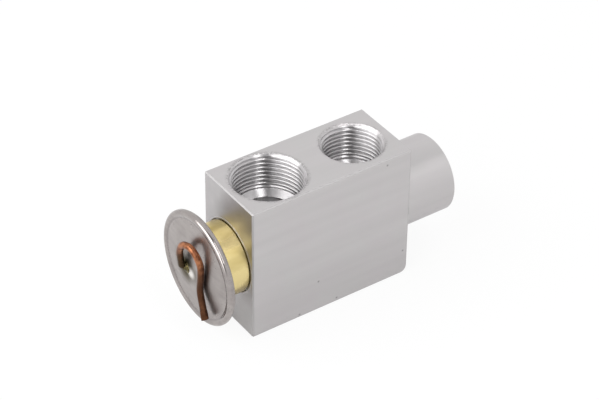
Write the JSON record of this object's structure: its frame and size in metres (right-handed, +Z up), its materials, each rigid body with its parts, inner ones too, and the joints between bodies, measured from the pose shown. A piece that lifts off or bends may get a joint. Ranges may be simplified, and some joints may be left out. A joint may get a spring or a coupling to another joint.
{
  "type": "block expansion valve",
  "caption": "Block type thermostatic expansion valve with threaded ports, a diaphragm power head on a brass collar and a sprung ball valve inside.",
  "frame": {"origin": "centre of the evaporator face, the underside that the block rests on", "axes": "+X along the valve axis from the power head to the spring boss, +Z up towards the line ports"},
  "size_m": [0.0939, 0.0378, 0.048],
  "materials": {
    "milled_aluminium": "satin, milled",
    "stainless": "bright pressed",
    "stainless_turned": "turned",
    "spring_steel": "rolled strip",
    "spring_wire": "drawn wire",
    "hard_steel": "ground",
    "brass": "turned",
    "screw_brass": "turned",
    "stopper_brass": "turned",
    "copper": "drawn copper tube",
    "braze_metal": "brazed",
    "rod_aluminium": "turned",
    "seal_rubber": "moulded"
  },
  "bodies": {
    "housing": {"valve_body": "milled_aluminium", "upper_cover": "stainless", "lower_cover": "stainless", "diaphragm": "spring_steel", "brass_collar": "brass", "head_oring": "seal_rubber", "charge_tube": "copper", "braze_fillet": "braze_metal", "push_nut": "spring_steel", "rod_seal": "seal_rubber"},
    "valve_train": {"diaphragm_stopper": "stopper_brass", "sensing_rod": "rod_aluminium", "operating_pin": "hard_steel", "valve_ball": "hard_steel", "ball_support": "stainless_turned", "damping_spring": "spring_steel", "valve_spring": "spring_wire"},
    "adjuster_ring": {"adjuster_oring": "seal_rubber"},
    "adjuster": {"adjusting_screw": "screw_brass"}
  },
  "joints": [
    {"name": "valve_stroke", "type": "slide", "parent": "housing", "child": "valve_train", "axis": [1, 0, 0], "range_m": [0, 0.0008], "stiffness_N_per_m": 1500, "springref_m": -0.002, "deforming": ["valve_spring", "diaphragm"]},
    {"name": "adjuster_travel", "type": "slide", "parent": "housing", "child": "adjuster_ring", "axis": [1, 0, 0], "range_m": [-0.001, 0.001], "deforming": ["valve_spring"]},
    {"name": "adjuster_turn", "type": "hinge", "parent": "adjuster_ring", "child": "adjuster", "pos_m": [0.0405, 0, 0.024], "axis": [1, 0, 0], "range_deg": [-360, 360]}
  ],
  "couplings": [
    {"joint": "adjuster_travel", "follows": "adjuster_turn", "m_per_rad": 0.00015915}
  ]
}
